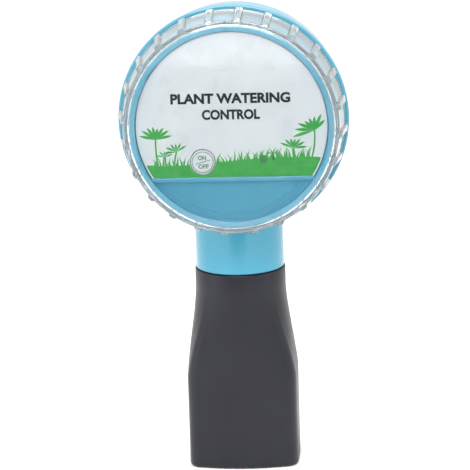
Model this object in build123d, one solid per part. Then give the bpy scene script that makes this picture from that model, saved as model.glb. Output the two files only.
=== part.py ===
from build123d import *
import os
from math import atan, cos, degrees, radians, sin

os.makedirs("parts", exist_ok=True)

# Irrigation controller: a round head with a clear screw-on cover stands on a neck,
# and the neck plugs into a tapering battery base.
# Millimetres. Origin: middle of the base's underside. +Z up, the face looks along -Y.

# A length beyond the whole object, for cutting
far = 50.0

# Base
base_width = 49.0
base_depth = 40.0
front_bow = 2.2
side_bow = 0.4
corner_radius = 6.0
base_wall = 2.2
base_bottom = 0.4
shoulder_z = 41.0
collar_z = 79.0
rim_z = 88.5
rim_radius = 19.95
bottom_round = 1.2
rim_round_over = 0.5
pad_width = 37.0
pad_length = 26.0
pad_corner = 5.0
pad_depth = 0.8

# Batteries and their cage
cell_radius = 7.1
cell_pitch = 14.6
cell_body = 49.0
cell_edge = 0.8
nub_radius = 2.7
nub_height = 1.5
spring_height = 3.5
spring_wire = 0.35
spring_radius = 3.2
spring_turns = 3
strip_half = 3.5
plate = 0.5
cage_radius = 17.4
cage_floor = 2.5
cage_post = 2.2
cage_post_ring = 14.6
cage_toe_gap = 0.3
ring_height = 0.6
ring_pad_radius = 3.0
ring_inner = 7.0
ring_outer = 10.0

# Neck
neck_radius = 19.5
neck_wall = 2.0
neck_edge = 0.4
neck_root_z = 127.6
neck_gap = 0.3
spigot_length = 16.0
spigot_fit = 0.1
spigot_wall = 2.05
seal_z = 82.0
seal_groove = 1.0
seal_groove_width = 1.5
seal_fit = 0.05
plug_thickness = 2.5
plug_inset = 1.2
pin_offset = 8.5
pin_radius = 1.6
pin_tip_radius = 1.0
pin_tail = 80.5
pin_tip_length = 3.0
pin_tail_length = 2.0
pin_boss_wall = 1.2
pin_boss_height = 1.5

# Head, turned about an axis along Y
head_z = 157.6
cover_front = -38.7
cover_rear = -20.1
cover_front_radius = 45.7
cover_rear_radius = 48.1
cover_wall = 1.8
cover_edge = 0.9
window_thickness = 1.7
rib_count = 24
rib_start_deg = 4.7
rib_height = 1.0
rib_width = 3.4
rib_end_round = 0.8
rib_end_gap = 0.4
rib_bevel = 0.45
gasket_inner = 45.5
gasket_width = 1.0
gasket_depth = 1.3
flange_radius = 49.5
flange_front = -19.5
flange_rear = -16.2
flange_round = 0.9
spigot_radius = 43.5
rim_front = -36.6
rim_inner = 40.9
rim_round = 0.7
bulkhead_front = -33.8
bulkhead_rear = -31.8
front_bore = 41.0
lip_outer = 45.1
lip_inner = 43.4
lip_rear = -13.5
shell_front_radius = 47.4
shell_back_radius = 46.3
shell_wall = 2.0
shell_back = 19.5
shell_round = 9.5
seal_cord = 0.45
seal_ring = (lip_outer + shell_front_radius) / 2 + 0.1

# Screw thread of the cover
thread_lead = 16.0
thread_starts = 4
thread_rise = 1.1
thread_width = 1.2
thread_flank = 0.15
thread_root = 0.3
thread_start_y = -23.4
ridge_sweep_deg = 70.0
lug_start_deg = 20.0
lug_sweep_deg = 30.0
lug_reach = 43.95
lug_root = 46.05

# Face
panel_front = -35.0
panel_radius = 40.5
bar_top = -21.5
bar_height = 1.9
bar_front = -35.7
bar_round = 0.6
ring_band = 1.6
bulkhead_bite = 0.2
ring_step = 0.45
notch_x = -1.0
notch_width = 1.8
notch_depth = 0.8
button_x = -12.6
button_z = -14.7
button_radius = 5.15
button_front = -36.0
button_dome = 0.5
button_gap = 0.35
button_flange = 6.4
button_flange_front = -31.4
button_flange_rear = -30.4
led_x = 13.4
led_z = -14.1
led_radius = 1.75
led_front = -35.3
led_edge = 0.4
led_collar = 0.9
led_collar_depth = 0.8
button_spring_radius = 4.8
button_spring_wire = 0.3
button_spring_height = 2.4
button_spring_turns = 2.5
band_seat = 0.3

# Control board
board_front = -26.2
board_rear = -24.6
board_radius = 31.0
board_post_x = 24.0
board_post_z = 12.0
board_post_radius = 2.6
board_screw_radius = 1.0
board_screw_head = 1.9
board_screw_height = 1.3
board_screw_slot = 0.6
board_pilot_radius = 0.8
board_screw_tip = board_front - 4.0
socket_x = 8.0
socket_z = 134.0
socket_width = 7.5
socket_height = 6.0
socket_depth = 5.8
socket_hole = 0.9
lead_entry = 2.0
module_thickness = 0.9
lead_radius = 0.65
lead_pitch = 2.5
lead_y = -12.2

# Screws that join the housings
boss_ring = 35.5
boss_radius = 4.0
boss_split = -12.4
boss_angles = (45, 135, 225, 315)
pilot_radius = 1.3
screw_radius = 1.5
screw_clear = 1.7
screw_head_radius = 2.8
screw_head_height = 2.0
screw_head_seat = 16.0
screw_well_radius = 3.1
screw_tip = -24.0
screw_slot_length = 3.8
screw_slot_width = 0.7
screw_slot_depth = 1.0

# Pump, upright behind the board
pump_y = 3.0
can_radius = 12.2
can_wall = 0.8
can_bottom = 120.0
can_top = 146.0
end_cap_bottom = 117.5
shaft_radius = 1.0
shaft_clear = 0.05
core_radius = 8.5
magnet_inner = 9.2
sleeve_radius = 13.2
case_size = 27.0
case_corner = 4.0
case_top = 164.0
case_cavity = 10.6
diaphragm_top = 165.0
valve_top = 167.0
pump_top = 172.0
chamber_ring = 6.0
pump_screw_offset = 10.6
pump_screw_radius = 1.0
pump_screw_clear = 1.1
pump_screw_head = 1.9
pump_screw_height = 1.4
magnet_low = 125.0
magnet_high = 144.0
magnet_gap = 5.0
core_low = 129.0
core_high = 142.0
commutator_radius = 2.8
commutator_low = 122.5
commutator_high = 127.0
winding_radius = 5.4
sleeve_low = 124.0
sleeve_high = 145.0
bearing_radius = 3.5
terminal_places = (4.0, 8.0)
terminal_length = 2.0
eccentric_top = can_top + 8.0
crank_radius = 0.9
crank_throw = 1.9
clamp_low = 137.3
clamp_high = 144.3
clamp_ear_x = 19.0
clamp_thickness = 1.0
clamp_boss_radius = 3.5
clamp_boss_front = pump_y + 1.0
clamp_ear_depth = 1.6
clamp_screw_radius = 1.0

# Water ports in the back
port_x = 8.0
port_z = 188.0
port_spigot_radius = 2.3
port_spigot_end = 34.0
port_bore = 1.3
port_flange_radius = 5.4
port_shank_radius = 3.9
port_nut_width = 11.0
inner_spigot_radius = 2.0
hose_radius = 3.2
hose_bend = 6.5
hose_end_y = 13.6
clip_wall = 0.7
clip_width = 2.5
seal_thickness = 0.8
port_flange_thickness = 2.2
port_nut_thickness = 2.6
groove_depth = 0.35
groove_width = 0.8
groove_pitch = 2.0


def upright(radius, low, high, x=0.0, y=0.0):
    """Cylinder along Z."""
    return Pos(x, y, low) * Cylinder(radius, high - low, align=(Align.CENTER, Align.CENTER, Align.MIN))


def upright_tube(outer, inner, low, high, x=0.0, y=0.0):
    """Tube along Z."""
    return upright(outer, low, high, x, y) - upright(inner, low, high, x, y)


def across(radius, front, back, x=0.0, z=head_z):
    """Cylinder along Y."""
    start = Plane(origin=(x, front, z), x_dir=(1, 0, 0), z_dir=(0, 1, 0))
    return start * Cylinder(radius, back - front, align=(Align.CENTER, Align.CENTER, Align.MIN))


def across_tube(outer, inner, front, back, x=0.0, z=head_z):
    """Tube along Y."""
    return across(outer, front, back, x, z) - across(inner, front, back, x, z)


def block(x_low, x_high, y_low, y_high, z_low, z_high):
    """Box between two corners."""
    centre = Pos((x_low + x_high) / 2, (y_low + y_high) / 2, (z_low + z_high) / 2)
    return centre * Box(x_high - x_low, y_high - y_low, z_high - z_low)


def turned(points, radii):
    """Solid turned about the head's axis from (radius, y) points, each with its corner radius."""
    outline = Plane.XY.offset(head_z) * make_face(FilletPolyline(*points, radius=radii, close=True))
    return revolve(outline, axis=Axis((0, 0, head_z), (0, 1, 0)))


def ring_across(middle_radius, section_radius, y):
    """Round-section ring about the head's axis."""
    level = Plane(origin=(0, y, head_z), x_dir=(1, 0, 0), z_dir=(0, 1, 0))
    return level * Torus(middle_radius, section_radius)


def coil(radius, wire, height, turns, base):
    """Open coil spring standing on a plane."""
    path = Helix(pitch=height / turns, height=height, radius=radius)
    section = Plane(origin=path @ 0, z_dir=path % 0) * Circle(wire)
    return base * sweep(section, path=path, is_frenet=True)


def run_of_tube(points, radii, section_radius, bore=0.0):
    """Round tube or wire along straight runs joined by arcs."""
    path = FilletPolyline(*points, radius=radii)
    section = Circle(section_radius)
    if bore:
        section -= Circle(bore)
    return sweep(Plane(origin=path @ 0, z_dir=path % 0) * section, path=path)


def polar(radius, angle):
    """X and Z offsets from the head's axis."""
    return radius * cos(radians(angle)), radius * sin(radians(angle))


# --- Base -------------------------------------------------------------------------------


def base_outline(height, squareness, inset=0.0):
    """Outline of the base: a circle at squareness 0, a bowed rectangle at 1."""
    circle = rim_radius - inset
    half_depth = base_depth / 2 - inset
    half_width = base_width / 2 - inset
    corner = corner_radius - inset
    corner_x = half_width - side_bow - corner
    corner_y = half_depth - front_bow - corner
    diagonal = corner * cos(radians(45))
    on_circle = [(circle * sin(radians(a)), circle * cos(radians(a))) for a in (0, 38, 45, 52, 90)]
    on_rectangle = [
        (0, half_depth),
        (corner_x, corner_y + corner),
        (corner_x + diagonal, corner_y + diagonal),
        (corner_x + corner, corner_y),
        (half_width, 0),
    ]
    mid_front, corner_start, corner_mid, corner_end, mid_side = [
        (a[0] + (b[0] - a[0]) * squareness, a[1] + (b[1] - a[1]) * squareness)
        for a, b in zip(on_circle, on_rectangle)
    ]

    def at(point, sign_x, sign_y):
        return (point[0] * sign_x, point[1] * sign_y, height)

    arcs = [
        ThreePointArc(at(corner_start, -1, -1), at(mid_front, 1, -1), at(corner_start, 1, -1)),
        ThreePointArc(at(corner_start, 1, -1), at(corner_mid, 1, -1), at(corner_end, 1, -1)),
        ThreePointArc(at(corner_end, 1, -1), at(mid_side, 1, 1), at(corner_end, 1, 1)),
        ThreePointArc(at(corner_end, 1, 1), at(corner_mid, 1, 1), at(corner_start, 1, 1)),
        ThreePointArc(at(corner_start, 1, 1), at(mid_front, 1, 1), at(corner_start, -1, 1)),
        ThreePointArc(at(corner_start, -1, 1), at(corner_mid, -1, 1), at(corner_end, -1, 1)),
        ThreePointArc(at(corner_end, -1, 1), at(mid_side, -1, 1), at(corner_end, -1, -1)),
        ThreePointArc(at(corner_end, -1, -1), at(corner_mid, -1, -1), at(corner_start, -1, -1)),
    ]
    return make_face(arcs)


def base_form(bottom, top, inset=0.0):
    """Solid of the base: rounded toe, straight foot, easing taper and round collar."""
    toe_top = bottom + bottom_round
    toe_sections = []
    for angle in (0, 30, 60, 90):
        pull_in = bottom_round * (1 - sin(radians(angle)))
        rise = bottom_round * (1 - cos(radians(angle)))
        toe_sections.append(base_outline(bottom + rise, 1.0, inset + pull_in))
    toe = loft(toe_sections)
    foot = extrude(base_outline(toe_top, 1.0, inset), shoulder_z - toe_top, dir=(0, 0, 1))
    sections = []
    steps = 8
    for step in range(steps + 1):
        fall = 1 - step / steps
        eased = fall * fall * (3 - 2 * fall)
        height = shoulder_z + (collar_z - shoulder_z) * step / steps
        sections.append(base_outline(height, (fall + eased) / 2, inset))
    taper = loft(sections)
    collar = upright(rim_radius - inset, collar_z, top)
    return toe + foot + taper + collar


def make_base_shell():
    outer = base_form(base_bottom, rim_z)
    outer = fillet(outer.edges().group_by(Axis.Z)[-1], rim_round_over)
    hollow = base_form(base_bottom + base_wall, rim_z, base_wall)
    return outer - hollow - make_foot_pad()


def make_foot_pad():
    outline = RectangleRounded(pad_width, pad_length, pad_corner)
    return extrude(outline, base_bottom + pad_depth)


cage_bottom = base_bottom + base_wall
plate_low = cage_bottom + cage_floor
cell_space_low = plate_low + plate
cell_space_high = cell_space_low + cell_body + nub_height + spring_height
cage_top = cell_space_high + plate + cage_floor


def cell_places():
    """Cell centres with True where the positive end is up."""
    half = cell_pitch / 2
    return [(-half, -half, True), (half, -half, False), (half, half, True), (-half, half, False)]


def make_battery_cage():
    cage = upright(cage_radius, cage_bottom, plate_low)
    cage = chamfer(cage.edges().group_by(Axis.Z)[0], bottom_round + cage_toe_gap)
    cage += upright(cage_radius, cell_space_high + plate, cage_top)
    for post in PolarLocations(cage_post_ring, 4):
        cage += post * upright(cage_post, plate_low, cell_space_high + plate)
    cage += upright(cage_post, plate_low, cell_space_high + plate)
    return cage


def make_battery_cells():
    cells = []
    for x, y, positive_up in cell_places():
        if positive_up:
            low = cell_space_low + spring_height
            nub_low = low + cell_body
        else:
            low = cell_space_low + nub_height
            nub_low = cell_space_low
        body = upright(cell_radius, low, low + cell_body, x, y)
        body = fillet(body.edges().filter_by(GeomType.CIRCLE), cell_edge)
        cells.append(body + upright(nub_radius, nub_low, nub_low + nub_height, x, y))
    return Compound([cell.solids()[0] for cell in cells])


def make_cell_springs():
    springs = []
    for x, y, positive_up in cell_places():
        low = cell_space_low if positive_up else cell_space_high - spring_height
        stand = Pos(x, y, low + spring_wire)
        springs.append(coil(spring_radius, spring_wire, spring_height - 2 * spring_wire, spring_turns, stand))
    return Compound([spring.solids()[0] for spring in springs])


def make_cell_contacts():
    """Two strips under the cells, one strip and two pads over them."""
    half = cell_pitch / 2
    reach = half + strip_half
    roof = cell_space_high + plate
    strips = [
        block(-reach, reach, -half - strip_half, -half + strip_half, plate_low, cell_space_low),
        block(-reach, reach, half - strip_half, half + strip_half, plate_low, cell_space_low),
        block(-half - strip_half, -half + strip_half, -reach, reach, cell_space_high, roof),
    ]
    for y in (-half, half):
        strips.append(
            block(half - strip_half, half + strip_half, y - strip_half, y + strip_half, cell_space_high, roof)
        )
    return Compound([strip.solids()[0] for strip in strips])


def make_cage_rings():
    pad = upright(ring_pad_radius, cage_top, cage_top + ring_height)
    ring = upright_tube(ring_outer, ring_inner, cage_top, cage_top + ring_height)
    return Compound([pad.solids()[0], ring.solids()[0]])


# --- Neck -------------------------------------------------------------------------------

neck_bottom = rim_z + neck_gap
spigot_outer = rim_radius - base_wall - spigot_fit
spigot_inner = spigot_outer - spigot_wall
spigot_bottom = neck_bottom - spigot_length
seal_section = (rim_radius - base_wall - seal_fit - (spigot_outer - seal_groove)) / 2
seal_middle = spigot_outer - seal_groove + seal_section


def make_neck_o_ring():
    return Pos(0, 0, seal_z) * Torus(seal_middle, seal_section)


plug_low = spigot_bottom + plug_inset
plug_high = plug_low + plug_thickness
pin_places = ((0.0, 0.0), (-pin_offset, 0.0))


def make_neck_plug():
    plug = upright(spigot_inner, plug_low, plug_high)
    boss_top = plug_high + pin_boss_height
    for x, y in pin_places:
        plug += upright(pin_radius + pin_boss_wall, plug_high, boss_top, x, y)
        plug -= upright(pin_radius, plug_low, boss_top, x, y)
    return plug


def make_contact_pins():
    pins = []
    tip_low = cage_top + ring_height + neck_gap
    barrel_low = tip_low + pin_tip_length
    barrel_high = pin_tail - pin_tail_length
    for x, y in pin_places:
        tip = upright(pin_tip_radius, tip_low, barrel_low, x, y)
        tip = fillet(tip.edges().group_by(Axis.Z)[0], pin_tip_radius * 0.6)
        barrel = upright(pin_radius, barrel_low, barrel_high, x, y)
        tail = upright(lead_radius, barrel_high, pin_tail, x, y)
        pins.append((tip + barrel + tail).solids()[0])
    return Compound(pins)


# --- Housings ---------------------------------------------------------------------------


def boss_places():
    return [polar(boss_ring, angle) for angle in boss_angles]


def post_places():
    return [(x * board_post_x, z * board_post_z) for x in (-1, 1) for z in (-1, 1)]


def thread_piece(radius, outward, tall, offset, start_deg, sweep_deg):
    """One stretch of thread: a trapezoid swept along a right-hand helix about the head's axis."""
    rise = thread_lead * sweep_deg / 360
    path = Helix(
        pitch=thread_lead, height=rise, radius=radius, center=(0, 0, 0), direction=(0, 0, 1)
    )
    root = thread_width / 2 + thread_flank
    crest = thread_width / 2 - thread_flank
    profile = make_face(
        Polyline((-thread_root, -root), (tall, -crest), (tall, crest), (-thread_root, root), close=True)
    )
    away = Vector(outward, 0, 0)
    section = Plane(origin=path @ 0, x_dir=away, z_dir=path % 0) * profile
    piece = sweep(section, path=path, is_frenet=True)
    start_y = thread_start_y + offset - thread_lead * start_deg / 360
    seat = Plane(origin=(0, start_y, head_z), x_dir=(1, 0, 0), z_dir=(0, -1, 0))
    return seat * (Rot(0, 0, start_deg) * piece)


def make_front_housing():
    body = turned(
        [
            (0, bulkhead_front),
            (rim_inner, bulkhead_front),
            (rim_inner, rim_front),
            (spigot_radius, rim_front),
            (spigot_radius, flange_front),
            (flange_radius, flange_front),
            (flange_radius, flange_rear),
            (lip_outer, flange_rear),
            (lip_outer, lip_rear),
            (lip_inner, lip_rear),
            (lip_inner, flange_rear),
            (front_bore, flange_rear - 2),
            (front_bore, bulkhead_rear),
            (0, bulkhead_rear),
        ],
        [0, 0.3, rim_round, rim_round, 0.5, flange_round, flange_round, 0, 0.4, 0, 0, 0, 1.0, 0],
    )
    body -= across_tube(
        seal_ring + seal_cord, seal_ring - seal_cord, flange_rear - 2 * seal_cord, flange_rear
    )
    bar = block(
        -rim_inner, rim_inner, bar_front, bulkhead_front + bulkhead_bite,
        head_z + bar_top - bar_height, head_z + bar_top,
    )
    bar = fillet(bar.edges().filter_by(Axis.X).group_by(Axis.Y)[0], bar_round)
    body += bar & across(rim_inner + band_seat, bar_front - 1, bulkhead_front + bulkhead_bite)
    band = across_tube(
        rim_inner + band_seat, rim_inner - ring_band, bulkhead_front - ring_step, bulkhead_front
    )
    inner_band = across_tube(
        rim_inner - 2 * ring_band, rim_inner - 2.5 * ring_band, bulkhead_front - ring_step / 2, bulkhead_front
    )
    below_bar = block(-far, far, -far, 0, head_z - far, head_z + bar_top - bar_height)
    body += band & below_bar
    body += inner_band & below_bar
    for x, z in boss_places():
        body += across(boss_radius, bulkhead_rear, boss_split, x, head_z + z)
        body -= across(pilot_radius, screw_tip - 1, boss_split, x, head_z + z)
    for x, z in post_places():
        body += across(board_post_radius, bulkhead_rear, board_front, x, head_z + z)
        body -= across(board_pilot_radius, board_screw_tip - 0.5, board_front, x, head_z + z)
    body -= across(button_radius + button_gap, -far, bulkhead_rear + 1, button_x, head_z + button_z)
    body -= across(led_radius, -far, bulkhead_rear + 1, led_x, head_z + led_z)
    body -= block(
        notch_x - notch_width / 2, notch_x + notch_width / 2, rim_front - 1, rim_front + notch_depth,
        head_z + rim_inner - 1, head_z + rim_inner + 1.2,
    )
    for start in range(thread_starts):
        turn = start * 360 / thread_starts
        ridge = thread_piece(spigot_radius, 1, thread_rise, 0, 0, ridge_sweep_deg)
        body += ridge.rotate(Axis((0, 0, head_z), (0, -1, 0)), turn)
    return body


def make_rear_housing():
    outer = turned(
        [
            (0, flange_rear),
            (shell_front_radius, flange_rear),
            (shell_back_radius, shell_back),
            (0, shell_back),
        ],
        [0, 0, shell_round, 0],
    )
    cavity = turned(
        [
            (0, flange_rear),
            (shell_front_radius - shell_wall, flange_rear),
            (shell_back_radius - shell_wall, shell_back - shell_wall),
            (0, shell_back - shell_wall),
        ],
        [0, 0, shell_round - shell_wall, 0],
    )
    neck = upright(neck_radius, neck_bottom, neck_root_z)
    neck = fillet(neck.edges().group_by(Axis.Z)[0], neck_edge)
    body = outer + (neck - across(flange_radius + 0.05, cover_front, flange_rear))
    body -= cavity
    body -= upright(neck_radius - neck_wall, neck_bottom + neck_wall, neck_root_z)
    spigot = upright_tube(spigot_outer, spigot_inner, spigot_bottom, neck_bottom + neck_wall)
    groove_half = seal_groove_width / 2
    groove = upright_tube(
        spigot_outer + 1, spigot_outer - seal_groove, seal_z - groove_half, seal_z + groove_half
    )
    body += spigot - groove
    body -= upright(spigot_inner, spigot_bottom, neck_bottom + neck_wall)
    for x, z in boss_places():
        body += across(boss_radius, boss_split + 0.2, screw_head_seat + shell_wall, x, head_z + z)
        body -= across(screw_well_radius, screw_head_seat, shell_back + 1, x, head_z + z)
        body -= across(screw_clear, boss_split, screw_head_seat, x, head_z + z)
    for side in (-1, 1):
        clamp_z = (clamp_low + clamp_high) / 2
        boss_x = side * clamp_ear_x
        body += across(clamp_boss_radius, clamp_boss_front, shell_back - shell_wall, boss_x, clamp_z)
        body -= across(clamp_screw_radius, clamp_boss_front, clamp_boss_front + 9, boss_x, clamp_z)
        body -= across(port_shank_radius, 0, shell_back + 1, side * port_x, port_z)
    return body


def make_housing_seal():
    return ring_across(seal_ring, seal_cord, flange_rear - seal_cord)


def make_housing_screws():
    """Cross-recess pan-head screws, driven from the back."""
    screws = []
    top = screw_head_seat + screw_head_height
    length, width = screw_slot_length / 2, screw_slot_width / 2
    for x, z in boss_places():
        head = across(screw_head_radius, screw_head_seat, top, x, head_z + z)
        head = fillet(head.edges().group_by(Axis.Y)[-1], 0.7)
        for half_x, half_z in ((length, width), (width, length)):
            head -= block(
                x - half_x, x + half_x, top - screw_slot_depth, top, head_z + z - half_z, head_z + z + half_z
            )
        shank = across(screw_radius, boss_split, screw_head_seat, x, head_z + z)
        shank += across(pilot_radius, screw_tip, boss_split, x, head_z + z)
        screws.append((head + shank).solids()[0])
    return Compound(screws)


# --- Clear cover ------------------------------------------------------------------------


def make_clear_cover():
    inner_front = cover_front + window_thickness
    slope = (cover_rear_radius - cover_front_radius) / (cover_rear - cover_front)
    inside_front = cover_front_radius - cover_wall + slope * window_thickness
    inside_rear = cover_rear_radius - cover_wall - slope * gasket_depth
    seat_radius = gasket_inner + gasket_width + 0.1
    body = turned(
        [
            (0, cover_front),
            (cover_front_radius, cover_front),
            (cover_rear_radius, cover_rear),
            (seat_radius, cover_rear),
            (seat_radius, cover_rear - gasket_depth),
            (inside_rear, cover_rear - gasket_depth),
            (inside_front, inner_front),
            (0, inner_front),
        ],
        [0, cover_edge, 0.5, 0, 0, 0, 1.2, 0],
    )
    half_length = (cover_rear - cover_front) / 2 - rib_end_gap
    middle_radius = (cover_front_radius + cover_rear_radius) / 2
    middle_y = (cover_front + cover_rear) / 2
    rib = Box(rib_width, 2 * half_length, 2 * rib_height)
    rib = fillet(rib.edges().filter_by(Axis.Z), rib_end_round)
    rib = chamfer(rib.faces().sort_by(Axis.Z)[-1].edges(), rib_bevel)
    rib = Pos(0, middle_y, head_z + middle_radius) * (Rot(degrees(atan(slope)), 0, 0) * rib)
    for index in range(rib_count):
        turn = rib_start_deg + index * 360 / rib_count
        body += rib.rotate(Axis((0, 0, head_z), (0, 1, 0)), turn)
    body -= turned(
        [
            (0, inner_front),
            (inside_front, inner_front),
            (inside_rear, cover_rear - gasket_depth),
            (seat_radius, cover_rear - gasket_depth),
            (seat_radius, cover_rear + 1),
            (0, cover_rear + 1),
        ],
        [0, 1.2, 0, 0, 0, 0],
    )
    lug_offset = thread_lead / thread_starts / 2
    for start in range(thread_starts):
        turn = start * 360 / thread_starts
        lug = thread_piece(lug_root, -1, lug_root - lug_reach, lug_offset, lug_start_deg, lug_sweep_deg)
        body += lug.rotate(Axis((0, 0, head_z), (0, -1, 0)), turn)
    return body


def make_cover_gasket():
    return across_tube(
        gasket_inner + gasket_width, gasket_inner, cover_rear - gasket_depth + 0.1, cover_rear + 0.2
    )


# --- Face -------------------------------------------------------------------------------


def make_face_panel():
    panel = across(panel_radius, panel_front, bulkhead_front)
    panel &= block(-far, far, -far, 0, head_z + bar_top, head_z + far)
    panel -= across(button_radius + button_gap, -far, 0, button_x, head_z + button_z)
    panel -= across(led_radius, -far, 0, led_x, head_z + led_z)
    return panel


def make_power_button():
    cap = across(button_radius, button_front, button_flange_rear, button_x, head_z + button_z)
    cap = fillet(cap.edges().group_by(Axis.Y)[0], button_dome)
    flange = across(button_flange, button_flange_front, button_flange_rear, button_x, head_z + button_z)
    return cap + flange


def make_button_spring():
    stand = Plane(origin=(button_x, board_front - button_spring_wire, head_z + button_z), z_dir=(0, -1, 0))
    return coil(button_spring_radius, button_spring_wire, button_spring_height, button_spring_turns, stand)


def make_led_lens():
    lens = across(led_radius, led_front, bulkhead_rear + led_collar_depth + 1, led_x, head_z + led_z)
    lens = fillet(lens.edges().group_by(Axis.Y)[0], led_edge)
    collar_rear = bulkhead_rear + led_collar_depth
    return lens + across(led_radius + led_collar, bulkhead_rear, collar_rear, led_x, head_z + led_z)


# --- Control board ----------------------------------------------------------------------


def make_control_board():
    board = across(board_radius, board_front, board_rear)
    for x, z in post_places():
        board -= across(board_screw_radius + 0.1, board_front, board_rear, x, head_z + z)
    return board


def make_board_screws():
    screws = []
    head_rear = board_rear + board_screw_height
    for x, z in post_places():
        head = across(board_screw_head, board_rear, head_rear, x, head_z + z)
        head = fillet(head.edges().group_by(Axis.Y)[-1], 0.5)
        slot = Pos(x, head_rear, head_z + z) * Box(2.6, 2 * board_screw_slot, board_screw_slot)
        shank = across(board_pilot_radius, board_screw_tip, board_rear, x, head_z + z)
        screws.append((head - slot + shank).solids()[0])
    return Compound(screws)


def make_button_switch():
    half_width = 3.0
    case_front = board_front - 2.5
    plunger_front = board_front - 3.0
    x, z = button_x, head_z + button_z
    body = block(x - half_width, x + half_width, case_front, board_front, z - half_width, z + half_width)
    return body + across(1.7, plunger_front, case_front, x, z)


def make_indicator_led():
    dome_radius = 1.5
    foot_radius = 1.9
    led = across(dome_radius, board_front - 3.4, board_front, led_x, head_z + led_z)
    led = fillet(led.edges().group_by(Axis.Y)[0], dome_radius * 0.8)
    return led + across(foot_radius, board_front - 1, board_front, led_x, head_z + led_z)


def make_control_chip():
    """Square package with eight legs through each pair of sides."""
    middle_x, middle_z = -10.5, head_z - 3.5
    half, leg_reach = 4.5, 5.5
    leg_half = 0.15
    leg_pitch = 1.0
    legs_a_side = 8
    leg_rear = board_rear + 0.2
    chip = block(
        middle_x - half, middle_x + half, board_rear + 0.1, board_rear + 1.5, middle_z - half, middle_z + half
    )
    for index in range(legs_a_side):
        offset = (index - (legs_a_side - 1) / 2) * leg_pitch
        for half_x, half_z, x, z in (
            (leg_reach, leg_half, middle_x, middle_z + offset),
            (leg_half, leg_reach, middle_x + offset, middle_z),
        ):
            chip += block(x - half_x, x + half_x, board_rear, leg_rear, z - half_z, z + half_z)
    return chip


def make_driver_chip():
    """Power package with its cooling tab."""
    body = block(7, 13.5, board_rear, board_rear + 2.2, head_z - 8, head_z - 2)
    tab = block(8, 12.5, board_rear, board_rear + 0.6, head_z - 2, head_z + 1.5)
    return body + tab


def make_power_capacitor():
    capacitor_radius = 4.0
    capacitor_height = 9.5
    can = across(capacitor_radius, board_rear, board_rear + capacitor_height, 19, head_z + 2)
    return fillet(can.edges().group_by(Axis.Y)[-1], 0.6)


def make_wireless_module():
    """Small board with its printed meander aerial."""
    module_rear = board_rear + module_thickness
    trace_rear = module_rear + 0.15
    trace_width = 0.4
    trace_reach = 7.0
    module = block(-9, 9, board_rear, module_rear, head_z + 6, head_z + 26)
    for index in range(5):
        low = head_z + 20.6 + index
        high = low + trace_width
        turn_x = -trace_reach if index % 2 else trace_reach
        turn_low, turn_high = turn_x - trace_width / 2, turn_x + trace_width / 2
        module += block(-trace_reach, trace_reach, module_rear, trace_rear, low, high)
        module += block(turn_low, turn_high, module_rear, trace_rear, low, high + 1)
    return module


def make_module_shield():
    low = board_rear + module_thickness
    shield = block(-7, 7, low, low + 2.2, head_z + 7.5, head_z + 19)
    return fillet(shield.edges().group_by(Axis.Y)[-1], 0.4)


def make_lead_sockets():
    sockets = []
    for side in (-1, 1):
        x = side * socket_x
        outer = block(
            x - socket_width / 2, x + socket_width / 2, board_rear, board_rear + socket_depth,
            socket_z - socket_height / 2, socket_z + socket_height / 2,
        )
        for lead in (-1, 1):
            lead_x = x + lead * lead_pitch / 2
            outer -= across(socket_hole, board_rear + lead_entry, board_rear + socket_depth, lead_x, socket_z)
        sockets.append(outer.solids()[0])
    return Compound(sockets)


lead_end_y = board_rear + lead_entry


def make_battery_leads():
    leads = []
    for (pin_x, pin_y), side in zip(pin_places, (1, -1)):
        x = -socket_x + side * lead_pitch / 2
        route = [
            (pin_x, pin_y, pin_tail),
            (pin_x, pin_y, 94),
            (x, lead_y, 110),
            (x, lead_y, socket_z),
            (x, lead_end_y, socket_z),
        ]
        leads.append(run_of_tube(route, [6, 6, 4], lead_radius).solids()[0])
    return Compound(leads)


def make_motor_leads():
    leads = []
    for terminal_x, side in zip(terminal_places, (-1, 1)):
        x = socket_x + side * lead_pitch / 2
        route = [
            (terminal_x, pump_y, end_cap_bottom - terminal_length),
            (terminal_x, pump_y, 108),
            (x, lead_y, 106),
            (x, lead_y, socket_z),
            (x, lead_end_y, socket_z),
        ]
        leads.append(run_of_tube(route, [3, 4, 4], lead_radius).solids()[0])
    return Compound(leads)


# --- Pump -------------------------------------------------------------------------------


def make_motor_can():
    bearing_top = can_top + 1.5
    can = upright(can_radius, can_bottom, can_top, 0, pump_y)
    can -= upright(can_radius - can_wall, can_bottom, can_top - can_wall, 0, pump_y)
    can += upright(bearing_radius, can_top, bearing_top, 0, pump_y)
    return can - upright(shaft_radius + shaft_clear, can_top - 2, bearing_top, 0, pump_y)


def make_motor_end_cap():
    bearing_top = can_bottom + 1.5
    cap = upright(can_radius, end_cap_bottom, can_bottom, 0, pump_y)
    cap += upright(3.2, can_bottom, bearing_top, 0, pump_y)
    cap -= upright(shaft_radius + shaft_clear, end_cap_bottom + 1, bearing_top, 0, pump_y)
    for x in terminal_places:
        cap += block(
            x - 0.9, x + 0.9, pump_y - 0.3, pump_y + 0.3, end_cap_bottom - terminal_length, end_cap_bottom
        )
    return cap


def make_motor_magnets():
    ring = upright_tube(can_radius - can_wall, magnet_inner, magnet_low, magnet_high, 0, pump_y)
    ring -= block(-magnet_gap / 2, magnet_gap / 2, -far, far, magnet_low, magnet_high)
    return Compound(ring.solids())


def make_motor_rotor():
    """Shaft, five-pole core and commutator."""
    shaft = upright(shaft_radius, end_cap_bottom + 1.4, eccentric_top, 0, pump_y)
    core = upright(core_radius, core_low, core_high, 0, pump_y)
    for slot in PolarLocations(core_radius, 5):
        core -= Pos(0, pump_y, 0) * (slot * block(-3, 1, -0.8, 0.8, core_low - 1, core_high + 1))
    commutator = upright(commutator_radius, commutator_low, commutator_high, 0, pump_y)
    return shaft + core + commutator


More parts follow.
